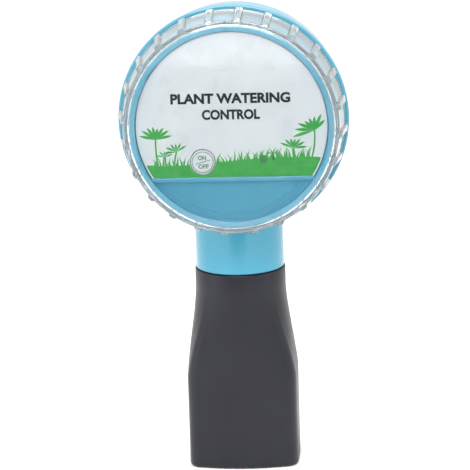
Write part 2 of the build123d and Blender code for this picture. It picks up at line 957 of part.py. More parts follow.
def make_rotor_winding():
    """The ends of the winding, below and above the core."""
    lower = upright_tube(winding_radius, commutator_radius + 0.1, commutator_high + 0.2, core_low, 0, pump_y)
    upper = upright_tube(winding_radius, shaft_radius, core_high, core_high + 1.6, 0, pump_y)
    return Compound([lower.solids()[0], upper.solids()[0]])


def make_eccentric():
    hub_low = can_top + 2.6
    hub = upright(3.8, hub_low, eccentric_top, 0, pump_y)
    hub -= upright(shaft_radius, hub_low, eccentric_top, 0, pump_y)
    return hub + upright(crank_radius, eccentric_top - 1, eccentric_top + 3, crank_throw, pump_y)


def make_motor_sleeve():
    return upright_tube(sleeve_radius, can_radius, sleeve_low, sleeve_high, 0, pump_y)


def make_pump_clamp():
    middle = (clamp_low + clamp_high) / 2
    clamp = upright(sleeve_radius + clamp_thickness, clamp_low, clamp_high, 0, pump_y)
    ear_end = clamp_ear_x + 4
    ear_front = clamp_boss_front - clamp_ear_depth
    clamp += block(-ear_end, ear_end, ear_front, clamp_boss_front, clamp_low, clamp_high)
    clamp -= upright(sleeve_radius, clamp_low, clamp_high, 0, pump_y)
    for side in (-1, 1):
        clamp -= across(clamp_screw_radius + 0.2, ear_front, clamp_boss_front, side * clamp_ear_x, middle)
    return clamp


def make_clamp_screws():
    middle = (clamp_low + clamp_high) / 2
    ear_front = clamp_boss_front - clamp_ear_depth
    screws = []
    for side in (-1, 1):
        x = side * clamp_ear_x
        head = across(2.2, ear_front - 1.6, ear_front, x, middle)
        head = fillet(head.edges().group_by(Axis.Y)[0], 0.5)
        shank = across(clamp_screw_radius, ear_front, clamp_boss_front + 8, x, middle)
        screws.append((head + shank).solids()[0])
    return Compound(screws)


def pump_block(low, high):
    """Square pump section with rounded corners."""
    outline = RectangleRounded(case_size, case_size, case_corner)
    return Pos(0, pump_y, low) * extrude(outline, high - low)


def pump_screw_holes():
    offsets = (-pump_screw_offset, pump_screw_offset)
    return [Pos(x, pump_y + y, 0) for x in offsets for y in offsets]


def chamber_places():
    return [Pos(0, pump_y, 0) * place for place in PolarLocations(chamber_ring, 3, start_angle=90)]


def make_pump_case():
    floor = can_top + 2
    case = pump_block(can_top, case_top)
    case -= upright(case_cavity, floor, case_top, 0, pump_y)
    case -= upright(bearing_radius, can_top, floor, 0, pump_y)
    for place in pump_screw_holes():
        case -= place * upright(pump_screw_radius, case_top - 12, case_top)
    return case


def make_wobble_plate():
    """Disc under the diaphragm's three cups, on a socket round the eccentric's pin."""
    socket_low = can_top + 9
    disc_low = socket_low + 3.4
    disc_high = socket_low + 4.6
    plate_body = upright_tube(3.8, 3.2, socket_low, disc_low, 0, pump_y)
    plate_body += upright(4.6, disc_low, disc_high, 0, pump_y)
    for place in chamber_places():
        plate_body += place * upright(2.0, disc_low, disc_high)
    return plate_body


def make_pump_diaphragm():
    """Rubber sheet with three hanging cups."""
    cup_radius = 3.6
    cup_wall = 0.8
    cup_low = can_top + 13.6
    sheet = pump_block(case_top, diaphragm_top)
    for place in chamber_places():
        sheet += place * upright(cup_radius, cup_low, case_top)
        sheet -= place * upright(cup_radius - cup_wall, cup_low + cup_wall, diaphragm_top)
    for place in pump_screw_holes():
        sheet -= place * upright(pump_screw_clear, case_top, diaphragm_top)
    return sheet


def make_valve_plate():
    port_offset = 1.2
    port_radius = 0.8
    disc = pump_block(diaphragm_top, valve_top)
    for place in chamber_places():
        for side in (-1, 1):
            disc -= place * upright(port_radius, diaphragm_top, valve_top, side * port_offset)
    for place in pump_screw_holes():
        disc -= place * upright(pump_screw_clear, diaphragm_top, valve_top)
    return disc


def make_pump_cover():
    barb_top = pump_top + 6
    cover = pump_block(valve_top, pump_top)
    cover = fillet(cover.edges().group_by(Axis.Z)[-1], 0.8)
    for side in (-1, 1):
        cover += upright(inner_spigot_radius, pump_top, barb_top, side * port_x, pump_y)
        cover -= upright(port_bore, valve_top, barb_top, side * port_x, pump_y)
    for place in pump_screw_holes():
        cover -= place * upright(pump_screw_clear, valve_top, pump_top)
    return cover


def make_pump_screws():
    screws = []
    head_top = pump_top + pump_screw_height
    for place in pump_screw_holes():
        head = upright(pump_screw_head, pump_top, head_top)
        head = fillet(head.edges().group_by(Axis.Z)[-1], 0.5)
        head -= block(-1.4, 1.4, -0.3, 0.3, head_top - 0.6, head_top)
        shank = upright(pump_screw_radius, case_top - 10, pump_top)
        screws.append(place * (head + shank).solids()[0])
    return Compound(screws)


# --- Water path -------------------------------------------------------------------------


def make_hose(side):
    route = [
        (side * port_x, pump_y, pump_top + 0.3),
        (side * port_x, pump_y, port_z),
        (side * port_x, hose_end_y, port_z),
    ]
    return run_of_tube(route, [hose_bend], hose_radius, inner_spigot_radius)


def make_hose_clips():
    clips = []
    clip_radius = hose_radius + clip_wall
    low_z = pump_top + 1.5
    high_y = hose_end_y - 0.5
    for side in (-1, 1):
        x = side * port_x
        low = upright_tube(clip_radius, hose_radius, low_z, low_z + clip_width, x, pump_y)
        high = across_tube(clip_radius, hose_radius, high_y - clip_width, high_y, x, port_z)
        clips += [low.solids()[0], high.solids()[0]]
    return Compound(clips)


port_seat = shell_back + seal_thickness
port_root = port_seat + port_flange_thickness


def make_port(side):
    """One water port: barb inside, shank through the back, hexagon and grooved spigot outside."""
    x = side * port_x
    port = across(inner_spigot_radius, hose_end_y - 4.6, hose_end_y + 1, x, port_z)
    port += across(port_shank_radius, hose_end_y + 0.6, port_seat, x, port_z)
    hexagon = Plane(origin=(x, port_seat, port_z), x_dir=(1, 0, 0), z_dir=(0, 1, 0))
    port += hexagon * extrude(RegularPolygon(port_flange_radius, 6), port_flange_thickness)
    spigot = across(port_spigot_radius, port_root, port_spigot_end, x, port_z)
    port += chamfer(spigot.edges().group_by(Axis.Y)[-1], 0.5)
    for step in range(3):
        low = port_spigot_end - 2.6 - step * groove_pitch
        port -= across_tube(
            port_spigot_radius + 1, port_spigot_radius - groove_depth, low, low + groove_width, x, port_z
        )
    return port - across(port_bore, 0, port_spigot_end, x, port_z)


def make_port_seals():
    rings = []
    for side in (-1, 1):
        ring = across_tube(
            port_flange_radius - 0.6, port_shank_radius, shell_back, port_seat,
            side * port_x, port_z,
        )
        rings.append(ring.solids()[0])
    return Compound(rings)


def make_port_nuts():
    nuts = []
    inside = shell_back - shell_wall
    low = inside - port_nut_thickness
    for side in (-1, 1):
        plane = Plane(origin=(side * port_x, low, port_z), x_dir=(1, 0, 0), z_dir=(0, 1, 0))
        hexagon = RegularPolygon(port_nut_width / 2, 6, major_radius=False)
        nut = plane * extrude(hexagon, port_nut_thickness)
        nut -= across(port_shank_radius, low, inside, side * port_x, port_z)
        nuts.append(nut.solids()[0])
    return Compound(nuts)


pieces = {
    "base_shell": make_base_shell(),
    "foot_pad": make_foot_pad(),
    "battery_cage": make_battery_cage(),
    "battery_cells": make_battery_cells(),
    "cell_springs": make_cell_springs(),
    "cell_contacts": make_cell_contacts(),
    "cage_rings": make_cage_rings(),
    "rear_housing": make_rear_housing(),
    "front_housing": make_front_housing(),
    "housing_seal": make_housing_seal(),
    "housing_screws": make_housing_screws(),
    "neck_o_ring": make_neck_o_ring(),
    "neck_plug": make_neck_plug(),
    "contact_pins": make_contact_pins(),
    "clear_cover": make_clear_cover(),
    "cover_gasket": make_cover_gasket(),
    "face_panel": make_face_panel(),
    "power_button": make_power_button(),
    "button_spring": make_button_spring(),
    "led_lens": make_led_lens(),
    "control_board": make_control_board(),
    "board_screws": make_board_screws(),
    "button_switch": make_button_switch(),
    "indicator_led": make_indicator_led(),
    "control_chip": make_control_chip(),
    "driver_chip": make_driver_chip(),
    "power_capacitor": make_power_capacitor(),
    "wireless_module": make_wireless_module(),
    "module_shield": make_module_shield(),
    "lead_sockets": make_lead_sockets(),
    "battery_leads": make_battery_leads(),
    "motor_leads": make_motor_leads(),
    "motor_can": make_motor_can(),
    "motor_end_cap": make_motor_end_cap(),
    "motor_magnets": make_motor_magnets(),
    "motor_rotor": make_motor_rotor(),
    "rotor_winding": make_rotor_winding(),
    "eccentric": make_eccentric(),
    "motor_sleeve": make_motor_sleeve(),
    "pump_clamp": make_pump_clamp(),
    "clamp_screws": make_clamp_screws(),
    "pump_case": make_pump_case(),
    "wobble_plate": make_wobble_plate(),
    "pump_diaphragm": make_pump_diaphragm(),
    "valve_plate": make_valve_plate(),
    "pump_cover": make_pump_cover(),
    "pump_screws": make_pump_screws(),
    "inlet_hose": make_hose(-1),
    "outlet_hose": make_hose(1),
    "hose_clips": make_hose_clips(),
    "inlet_port": make_port(-1),
    "outlet_port": make_port(1),
    "port_seals": make_port_seals(),
    "port_nuts": make_port_nuts(),
}

for name, shape in pieces.items():
    export_step(shape, f"parts/{name}.step")
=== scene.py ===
import itertools
import random
from math import acos, asin, cos, hypot, pi, radians, sin, sqrt

import bpy
from mathutils import Matrix, Vector


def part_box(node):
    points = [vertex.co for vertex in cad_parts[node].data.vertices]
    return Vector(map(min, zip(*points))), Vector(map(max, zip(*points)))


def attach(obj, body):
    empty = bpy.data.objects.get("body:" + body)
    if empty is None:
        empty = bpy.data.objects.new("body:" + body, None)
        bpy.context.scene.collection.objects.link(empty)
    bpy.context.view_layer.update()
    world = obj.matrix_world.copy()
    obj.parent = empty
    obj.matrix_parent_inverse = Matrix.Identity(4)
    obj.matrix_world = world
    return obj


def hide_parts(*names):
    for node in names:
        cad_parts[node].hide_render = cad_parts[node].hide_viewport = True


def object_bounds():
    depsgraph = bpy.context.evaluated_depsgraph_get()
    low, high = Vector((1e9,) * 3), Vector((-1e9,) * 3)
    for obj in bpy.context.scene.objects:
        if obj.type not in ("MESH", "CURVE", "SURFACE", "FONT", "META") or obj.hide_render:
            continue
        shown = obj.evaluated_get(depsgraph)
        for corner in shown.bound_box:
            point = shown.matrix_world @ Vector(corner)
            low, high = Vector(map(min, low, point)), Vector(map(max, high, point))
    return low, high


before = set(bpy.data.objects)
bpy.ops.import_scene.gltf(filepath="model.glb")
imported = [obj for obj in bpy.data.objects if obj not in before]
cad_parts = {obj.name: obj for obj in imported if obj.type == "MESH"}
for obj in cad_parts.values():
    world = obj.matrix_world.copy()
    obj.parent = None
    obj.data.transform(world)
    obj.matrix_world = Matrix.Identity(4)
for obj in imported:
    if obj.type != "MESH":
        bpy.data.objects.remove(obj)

cad_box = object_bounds()
mm = 0.001


# --- Base shell ---------------------------------------------------------------------------
# The battery base is one deep injection-moulded cup in black ABS: a bowed rectangle at the
# foot that eases into a round collar. The tool was spark-eroded, so the skin is a fine satin
# grain that only shines along the rounded corners.

def linear(code):
    """sRGB hex colour as linear RGBA."""
    parts = [int(code[i:i + 2], 16) / 255 for i in (1, 3, 5)]
    return [c / 12.92 if c <= 0.04045 else ((c + 0.055) / 1.055) ** 2.4 for c in parts] + [1.0]


def add(material, kind, settings=None, sockets=None):
    """Adds a shader node with its settings, and gives its sockets a value or another node's output."""
    tree = material.node_tree
    node = tree.nodes.new("ShaderNode" + kind)
    for name, value in (settings or {}).items():
        setattr(node, name, value)
    for name, value in (sockets or {}).items():
        if isinstance(value, bpy.types.NodeSocket):
            tree.links.new(value, node.inputs[name])
        else:
            node.inputs[name].default_value = value
    return node


def finish(name, colour, roughness, **sockets):
    """A new material whose surface shader starts from a colour and a roughness."""
    material = bpy.data.materials.new(name)
    material.use_nodes = True
    shader = material.node_tree.nodes["Principled BSDF"]
    shader.inputs["Base Color"].default_value = linear(colour)
    shader.inputs["Roughness"].default_value = roughness
    for socket, value in sockets.items():
        shader.inputs[socket.replace("_", " ")].default_value = value
    return material, shader


def mottle(material, shader, darker, lighter, size):
    """Lets the base colour drift between two shades over a real size."""
    place = add(material, "TexCoord").outputs["Object"]
    drift = add(material, "TexNoise", None, {"Vector": place, "Scale": 1 / size, "Detail": 4.0})
    ramp = add(material, "ValToRGB", None, {"Fac": drift.outputs["Fac"]})
    for stop, position, colour in zip(ramp.color_ramp.elements, (0.35, 0.65), (darker, lighter)):
        stop.position = position
        stop.color = linear(colour)
    material.node_tree.links.new(ramp.outputs["Color"], shader.inputs["Base Color"])
    return ramp


def roughen(material, shader, low, high, size):
    """Lets the roughness vary between two values over a real size, as handling leaves it."""
    place = add(material, "TexCoord").outputs["Object"]
    wear = add(material, "TexNoise", None, {"Vector": place, "Scale": 1 / size, "Detail": 6.0})
    span = add(material, "MapRange", None, {
        "Value": wear.outputs["Fac"], "From Min": 0.3, "From Max": 0.7, "To Min": low, "To Max": high,
    })
    material.node_tree.links.new(span.outputs["Result"], shader.inputs["Roughness"])


def emboss(material, shader, size, depth, detail=2.0, edge=0.0):
    """Raises a grain of a real size and depth, over edges softened by a real radius."""
    place = add(material, "TexCoord").outputs["Object"]
    grain = add(material, "TexNoise", None, {"Vector": place, "Scale": 1 / size, "Detail": detail})
    sockets = {"Height": grain.outputs["Fac"], "Distance": depth, "Strength": 1.0}
    if edge:
        soft = add(material, "Bevel", {"samples": 4}, {"Radius": edge})
        sockets["Normal"] = soft.outputs["Normal"]
    bump = add(material, "Bump", None, sockets)
    material.node_tree.links.new(bump.outputs["Normal"], shader.inputs["Normal"])


def skin(name, rings, closed=False):
    """Mesh over rows of points: the ends run to a middle point, or the last row meets the first."""
    count = len(rings[0])
    points = [tuple(p) for ring in rings for p in ring]
    faces = []
    rows = len(rings)
    for row in range(rows if closed else rows - 1):
        here, there = row * count, (row + 1) % rows * count
        for i in range(count):
            j = (i + 1) % count
            faces.append((here + i, here + j, there + j, there + i))
    if not closed:
        for ring, base, flip in ((rings[0], 0, True), (rings[-1], (rows - 1) * count, False)):
            middle = sum((Vector(p) for p in ring), Vector()) / count
            points.append(tuple(middle))
            for i in range(count):
                j = (i + 1) % count
                corner = (base + j, base + i) if flip else (base + i, base + j)
                faces.append((*corner, len(points) - 1))
    mesh = bpy.data.meshes.new(name)
    mesh.from_pydata(points, [], faces)
    mesh.validate()
    return mesh


def piece(name, mesh, material, body, sharp=40, replaces=()):
    """Shades a mesh, puts it in the scene and lets it ride on a body."""
    for face in mesh.polygons:
        face.use_smooth = True
    mesh.set_sharp_from_angle(angle=radians(sharp))
    obj = bpy.data.objects.new(name, mesh)
    bpy.context.scene.collection.objects.link(obj)
    mesh.materials.clear()
    mesh.materials.append(material)
    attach(obj, body)
    if replaces:
        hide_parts(*replaces)
    return obj


base_low, base_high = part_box("base_shell")
base_wall = 2.2 * mm
shoulder = 41 * mm
collar = 79 * mm
collar_radius = 19.95 * mm
foot_half = ((base_high[0] - base_low[0]) / 2, (base_high[1] - base_low[1]) / 2)
foot_corner = 6 * mm
front_bow = 2.2 * mm
side_bow = 0.4 * mm
toe = 1.2 * mm
corner_from, corner_to = 38, 52        # the part of a quarter turn that a rounded corner takes
face_steps, corner_steps = 16, 10


def base_ring(height, squareness, inset=0.0):
    """One outline of the base: a circle at squareness 0, a bowed rectangle at 1."""
    half_x, half_y = foot_half[0] - inset, foot_half[1] - inset
    corner = foot_corner - inset
    corner_x, corner_y = half_x - side_bow - corner, half_y - front_bow - corner
    quarter = []
    for step in range(face_steps):
        t = step / face_steps
        quarter.append((radians(corner_from * t), (corner_x * t, half_y - front_bow * t * t)))
    for step in range(corner_steps):
        t = step / corner_steps
        turn = radians(90 * t)
        place = (corner_x + corner * sin(turn), corner_y + corner * cos(turn))
        quarter.append((radians(corner_from + (corner_to - corner_from) * t), place))
    for step in range(face_steps):
        t = 1 - step / face_steps
        quarter.append((radians(90 - (90 - corner_to) * t), (half_x - side_bow * t * t, corner_y * t)))
    radius = collar_radius - inset
    ring = []
    for flip_x, flip_y, order in ((1, -1, 1), (1, 1, -1), (-1, 1, 1), (-1, -1, -1)):
        points = [
            (radius * sin(turn) + (x - radius * sin(turn)) * squareness,
             radius * cos(turn) + (y - radius * cos(turn)) * squareness)
            for turn, (x, y) in quarter
        ]
        side = (half_x * squareness + radius * (1 - squareness), 0.0)
        if order < 0:
            points = [side] + points[:0:-1]
        ring += [(x * flip_x, y * flip_y, height) for x, y in points]
    return ring


def base_rows(inset, bottom):
    """Rows of the base's outer or inner skin, from the toe up to the collar."""
    rows = []
    for angle in (0, 20, 40, 60, 80):
        pull = toe * (1 - sin(radians(angle)))
        rows.append(base_ring(bottom + toe * (1 - cos(radians(angle))), 1.0, inset + pull))
    straight_steps, taper_steps = 5, 30
    for step in range(straight_steps):
        height = bottom + toe + (shoulder - bottom - toe) * step / straight_steps
        rows.append(base_ring(height, 1.0, inset))
    for step in range(taper_steps + 1):
        fall = 1 - step / taper_steps
        eased = fall * fall * (3 - 2 * fall)
        height = shoulder + (collar - shoulder) * step / taper_steps
        rows.append(base_ring(height, (fall + eased) / 2, inset))
    return rows


rim = base_high[2]
rim_round = 0.5 * mm
outer_rows = base_rows(0.0, base_low[2])
inner_rows = base_rows(base_wall, base_low[2] + base_wall)
rim_rows = []
for angle in (0, 30, 60, 90):
    pull = rim_round * (1 - cos(radians(angle)))
    rim_rows.append(base_ring(rim - rim_round + rim_round * sin(radians(angle)), 0.0, pull))
for angle in (90, 60, 30, 0):
    pull = base_wall - rim_round * (1 - cos(radians(angle)))
    rim_rows.append(base_ring(rim - rim_round + rim_round * sin(radians(angle)), 0.0, pull))
black_abs, shader = finish("spark-eroded black ABS", "#12131B", 0.4, IOR=1.5, Specular_IOR_Level=0.34)
mottle(black_abs, shader, "#101119", "#161720", 25 * mm)
roughen(black_abs, shader, 0.33, 0.44, 18 * mm)
# spark erosion leaves a fine even grain that spreads every highlight; the real one is about
# 0.15 mm, which is too fine to show, so it is drawn at 0.5 mm
emboss(black_abs, shader, 0.5 * mm, 0.012 * mm, detail=3.0)
piece(
    "base-moulding", skin("base-moulding", outer_rows + rim_rows + inner_rows[::-1]),
    black_abs, "base", replaces=["base_shell"],
)


def clothe(material, *nodes):
    """Gives CAD nodes their finish."""
    for node in nodes:
        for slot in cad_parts[node].material_slots:
            slot.material = material


# --- Foot pad -----------------------------------------------------------------------------
# A sheet of black nitrile rubber, die-cut and stuck in a shallow pocket under the base, so
# that the controller doesn't slide. It has a matt, slightly dusty skin.

rubber, shader = finish("moulded black nitrile rubber", "#1B1B1D", 0.72, IOR=1.52)
mottle(rubber, shader, "#17171A", "#242428", 6 * mm)
emboss(rubber, shader, 0.4 * mm, 0.02 * mm)
clothe(
    rubber, "foot_pad", "neck_o_ring", "housing_seal", "port_seals", "motor_sleeve", "pump_diaphragm",
)


# --- Battery cage and cells ---------------------------------------------------------------
# Two moulded nylon discs on posts hold four AA cells. Nickel-plated strips and springs join
# the cells, and two gold-flashed rings on top meet the neck's pins in any position.

# moulded nylon is a soft satin black, a shade uneven where the flow slowed
nylon, shader = finish("black moulded nylon", "#1E1E20", 0.5, IOR=1.53)
mottle(nylon, shader, "#1B1B1E", "#26262A", 12 * mm)
emboss(nylon, shader, 0.6 * mm, 0.015 * mm, edge=0.25 * mm)
clothe(nylon, "battery_cage", "button_switch", "port_nuts")

# plated over rolled strip, so it shines warm and grey with fine rolling marks
nickel, shader = finish("nickel-plated spring steel", "#C9C8C2", 0.28, Metallic=1.0)
roughen(nickel, shader, 0.2, 0.36, 3 * mm)
emboss(nickel, shader, 0.8 * mm, 0.006 * mm, edge=0.1 * mm)
clothe(nickel, "cell_springs", "cell_contacts", "button_spring", "hose_clips")

# a thin gold flash over turned brass, bright but for faint turning marks
gold, shader = finish("gold-flashed brass", "#D9B565", 0.25, Metallic=1.0)
roughen(gold, shader, 0.16, 0.34, 2 * mm)
emboss(gold, shader, 0.7 * mm, 0.006 * mm, edge=0.12 * mm)
clothe(gold, "cage_rings")

# the wrap is a glossy printed sleeve: dark for two thirds of the cell, then a copper band
cell_low, cell_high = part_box("battery_cells")
band_start = 0.68
cell_wrap, shader = finish("printed shrink wrap on a steel cell", "#23262B", 0.22, IOR=1.5)
place = add(cell_wrap, "TexCoord").outputs["Object"]
height = add(cell_wrap, "SeparateXYZ", None, {"Vector": place}).outputs["Z"]
along = add(cell_wrap, "MapRange", None, {
    "Value": height, "From Min": cell_low[2], "From Max": cell_high[2], "To Min": 0.0, "To Max": 1.0,
})
bands = add(cell_wrap, "ValToRGB", None, {"Fac": along.outputs["Result"]})
bands.color_ramp.interpolation = "CONSTANT"
bands.color_ramp.elements[0].color = linear("#2C2F34")
bands.color_ramp.elements[1].position = band_start
bands.color_ramp.elements[1].color = linear("#B97A2E")
cell_wrap.node_tree.links.new(bands.outputs["Color"], shader.inputs["Base Color"])
emboss(cell_wrap, shader, 2 * mm, 0.01 * mm, edge=0.3 * mm)
clothe(cell_wrap, "battery_cells")


# --- Head housings ------------------------------------------------------------------------
# Front and rear halves of the head are injection-moulded in light-blue ABS from polished
# tools, so they are glossy, with the faint ripple that the shrinking plastic leaves.

# a polished tool leaves a deep gloss that ripples a little over a few millimetres
for shade, low, high, node in (
    ("polished light-blue ABS of the back", "#2B8AA4", "#3391AB", "rear_housing"),
    # the front's paler blue is painted light on the well under the clear cover
    ("polished light-blue ABS of the front", "#60B3D0", "#6ABBD7", "front_housing"),
):
    blue_abs, shader = finish(shade, low, 0.16, IOR=1.54, Coat_Weight=0.2, Coat_Roughness=0.06)
    housing_tone_ramp = mottle(blue_abs, shader, low, high, 30 * mm)
    roughen(blue_abs, shader, 0.12, 0.22, 14 * mm)
    emboss(blue_abs, shader, 5 * mm, 0.01 * mm, detail=1.0, edge=0.35 * mm)
    clothe(blue_abs, node)
# the well of the front half is painted a paler blue than its flange, which matches the back: painted
# light, standing in for the light that the clear cover holds back from the well
flange_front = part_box("clear_cover")[1][1] + 0.4 * mm
place = add(blue_abs, "TexCoord").outputs["Object"]
depth = add(blue_abs, "SeparateXYZ", None, {"Vector": place}).outputs["Y"]
outside = add(blue_abs, "Math", {"operation": "GREATER_THAN"}, {0: depth, 1: flange_front})
# painted light: the flange keeps the darker blue, the well takes the paler, lit one
shades = add(blue_abs, "Mix", {"data_type": "RGBA"}, {
    0: outside.outputs[0], 6: housing_tone_ramp.outputs["Color"], 7: linear("#43889D"),
})
blue_abs.node_tree.links.new(shades.outputs[2], shader.inputs["Base Color"])


# --- Neck fittings ------------------------------------------------------------------------
# The neck's plug is black nylon pressed into the spigot. It carries two gold-flashed pins,
# which reach down to the rings on the battery cage.

clothe(nylon, "neck_plug")
clothe(gold, "contact_pins")


# --- Screws -------------------------------------------------------------------------------
# Pan-head steel screws, zinc plated and passivated. The same plating is on the pump's clamp
# and on the motor's drawn can.

# zinc plating leaves a cool grey satin that clouds slightly from place to place
zinc, shader = finish("zinc-plated steel", "#B4B9BE", 0.34, Metallic=1.0)
mottle(zinc, shader, "#AEB3B8", "#BFC3C4", 2 * mm)
roughen(zinc, shader, 0.26, 0.44, 1.5 * mm)
emboss(zinc, shader, 0.5 * mm, 0.01 * mm, edge=0.15 * mm)
clothe(zinc, "housing_screws", "board_screws", "clamp_screws", "pump_screws", "pump_clamp", "motor_can")


# --- Face panel ---------------------------------------------------------------------------
# A cut disc of pale grey acrylic fixed on the front housing, straight along its lower edge.
# It is printed in two inks, a grass-green garden strip and two lines of dark grey wording.

panel_low, panel_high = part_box("face_panel")
panel_front = panel_low[1]
panel_radius = (panel_high[0] - panel_low[0]) / 2
head_z = panel_high[2] - panel_radius
# cast acrylic with a faintly matted face, so that it shows soft highlights and no mirror
acrylic, shader = finish("pale grey acrylic sheet", "#F3F3F5", 0.3, IOR=1.49)
mottle(acrylic, shader, "#F0F1F4", "#F7F7F8", 16 * mm)
roughen(acrylic, shader, 0.24, 0.36, 9 * mm)
emboss(acrylic, shader, 0.9 * mm, 0.004 * mm, edge=0.15 * mm)
clothe(acrylic, "face_panel")

# slips of ink that cross each other lie 2 microns apart, so that no two faces share a plane
ink_depth = 0.05 * mm
ink_step = 0.002 * mm
ink_levels = 40
ink_order = itertools.count(1)


def printed(name, outline, back=panel_front):
    """A closed slip of ink from an outline of (x, z) points about the head's axis."""
    top = back - ink_depth - ink_step * (next(ink_order) % ink_levels)
    count = len(outline)
    turned = sum(x * outline[i - 1][1] - outline[i - 1][0] * z for i, (x, z) in enumerate(outline))
    if turned > 0:
        outline = outline[::-1]
    points = [(x, y, head_z + z) for y in (back, top) for x, z in outline]
    faces = [tuple(range(count - 1, -1, -1)), tuple(range(count, 2 * count))]
    faces += [(i, (i + 1) % count, (i + 1) % count + count, i + count) for i in range(count)]
    mesh = bpy.data.meshes.new(name)
    mesh.from_pydata(points, [], faces)
    mesh.validate()
    return mesh


# screen printing lays a thick even film with a low sheen, a little uneven where it dried
green_ink, shader = finish("screen-printed green ink", "#47B550", 0.34, IOR=1.5)
mottle(green_ink, shader, "#42B14D", "#4FBB57", 5 * mm)
emboss(green_ink, shader, 0.5 * mm, 0.004 * mm)
grey_ink, shader = finish("screen-printed dark grey ink", "#17171C", 0.36, IOR=1.5)
mottle(grey_ink, shader, "#141419", "#1C1C22", 4 * mm)
emboss(grey_ink, shader, 0.5 * mm, 0.004 * mm)

print_radius = panel_radius - 0.6 * mm
print_bottom = panel_low[2] - head_z + 0.05 * mm
turf_height, turf_wave, side_rise = -15.6, 1.8, 1.1        # in millimetres


def ground(x):
    """Height of the lawn at a place along it: one soft wave, and a rise towards both sides."""
    return (turf_height + turf_wave * sin(x * 62 + 0.6) + side_rise * (x / (30 * mm)) ** 2) * mm


def lawn_end(side):
    """One end of the lawn, up the panel's rim from its straight edge to the turf."""
    start, end, steps = acos(-print_bottom / print_radius), radians(73), 24
    turns = [start + (end - start) * step / steps for step in range(steps + 1)]
    rim = [(side * print_radius * sin(turn), -print_radius * cos(turn)) for turn in turns]
    return [(x, z) for x, z in rim if z <= ground(x)]


# the ink stops short of the hole that the button works in
button_low, button_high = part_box("power_button")
button_front = button_low[1]
button_x = (button_low[0] + button_high[0]) / 2
button_z = (button_low[2] + button_high[2]) / 2 - head_z
inkless = 5.65 * mm
dip = asin((ground(button_x) - button_z) / inkless)
notch_steps = 32
notch_turns = [dip - (pi + 2 * dip) * step / notch_steps for step in range(notch_steps + 1)]
notch = [(button_x + inkless * cos(turn), button_z + inkless * sin(turn)) for turn in notch_turns]


def clear_of_button(outline):
    """Whether an outline keeps out of the button's hole."""
    return all(hypot(x - button_x, z - button_z) > inkless for x, z in outline)


right_end, left_end = lawn_end(1), lawn_end(-1)
start_x, end_x = right_end[-1][0], left_end[-1][0]
turf_steps = 60
turf = [start_x + (end_x - start_x) * step / turf_steps for step in range(1, turf_steps)]
lawn = right_end + [(x, ground(x)) for x in turf if x > notch[0][0]] + notch
lawn += [(x, ground(x)) for x in turf if x < notch[-1][0]] + left_end[::-1]
ink_meshes = [printed("lawn", lawn)]


def blade(x, foot, tall, lean, wide):
    """A grass blade that bends over as it rises."""
    left_side, right_side = [], []
    steps = 6
    for step in range(steps):
        t = step / steps
        middle = x + lean * t * t
        half = wide / 2 * (1 - t ** 1.6)
        left_side.append((middle - half, foot + tall * t))
        right_side.append((middle + half, foot + tall * t))
    return left_side + [(x + lean, foot + tall)] + right_side[::-1]


random.seed(7)
blades = 74
row_start, row_length = -33.5, 67        # in millimetres
for index in range(blades):
    x = (row_start + row_length * (index + random.uniform(0.1, 0.9)) / blades) * mm
    tall = random.uniform(3.0, 6.4) * mm
    lean = random.uniform(-2.4, 2.4) * mm
    wide = random.uniform(0.7, 1.15) * mm
    foot = ground(x) - 1.2 * mm
    outline = blade(x, foot, tall, lean, wide)
    if all(hypot(px, pz) < print_radius for px, pz in outline) and clear_of_button(outline):
        ink_meshes.append(printed("blade", outline))


petal_steps = 8


def petal(root, direction, reach, wide, droop):
    """One pointed petal that leaves the flower's cup and droops at its tip."""
    left_side, right_side = [], []
    for step in range(petal_steps + 1):
        t = step / petal_steps
        half = wide / 2 * sin(pi * t ** 1.3)
        x = root[0] + cos(direction) * reach * t
        z = root[1] + sin(direction) * reach * t - droop * t * t
        left_side.append((x - sin(direction) * half, z + cos(direction) * half))
        right_side.append((x + sin(direction) * half, z - cos(direction) * half))
    return left_side + right_side[-2:0:-1]


def stem(start, end, bend, wide):
    """A flower stem as a thin bent strip."""
    left_side, right_side = [], []
    for step in range(petal_steps + 1):
        t = step / petal_steps
        x = start[0] + (end[0] - start[0]) * t + bend * sin(pi * t)
        z = start[1] + (end[1] - start[1]) * t
        left_side.append((x - wide / 2, z))
        right_side.append((x + wide / 2, z))
    return left_side + right_side[::-1]


# each flower: its cup, the reach of its petals, its tilt in degrees, how many petals it has, and
# its stem's foot and bend, all in millimetres
petal_fan = 70
petal_width, petal_droop = 0.145, 0.1        # as shares of a petal's reach
stem_width = 0.7 * mm
flowers = [
    ((-32.3, -5.0), 8.6, 0, 8, (-31.6, -16.0), -0.3),
    ((-28.6, -12.4), 4.0, 5, 5, (-28.4, -16.0), 0.1),
    ((-23.6, -10.4), 6.0, 18, 6, (-24.6, -16.0), -0.2),
    ((17.4, -12.2), 4.0, -8, 5, (17.2, -16.0), 0.1),
    ((26.0, -9.6), 7.0, -8, 7, (26.4, -15.5), 0.2),
    ((35.0, -2.2), 9.6, 30, 8, (33.4, -14.5), 0.6),
]
for (x, z), reach, tilt, petals, foot, bend in flowers:
    cup = (x * mm, z * mm)
    stalk = stem((foot[0] * mm, foot[1] * mm), cup, bend * mm, stem_width)
    ink_meshes.append(printed("stem", stalk))
    for index in range(petals):
        spread = -1 + 2 * index / (petals - 1)
        direction = radians(90 + tilt - petal_fan * spread)
        # the middle petals point more towards the viewer, so they are drawn shorter
        length = reach * mm * random.uniform(0.84, 1.0) * (0.74 + 0.26 * abs(spread))
        wide = petal_width * reach * mm
        outline = petal(cup, direction, length, wide, petal_droop * length)
        while max(hypot(px, pz) for px, pz in outline) > print_radius:
            length *= 0.9
            outline = petal(cup, direction, length, wide, petal_droop * length)
        ink_meshes.append(printed("petal", outline))


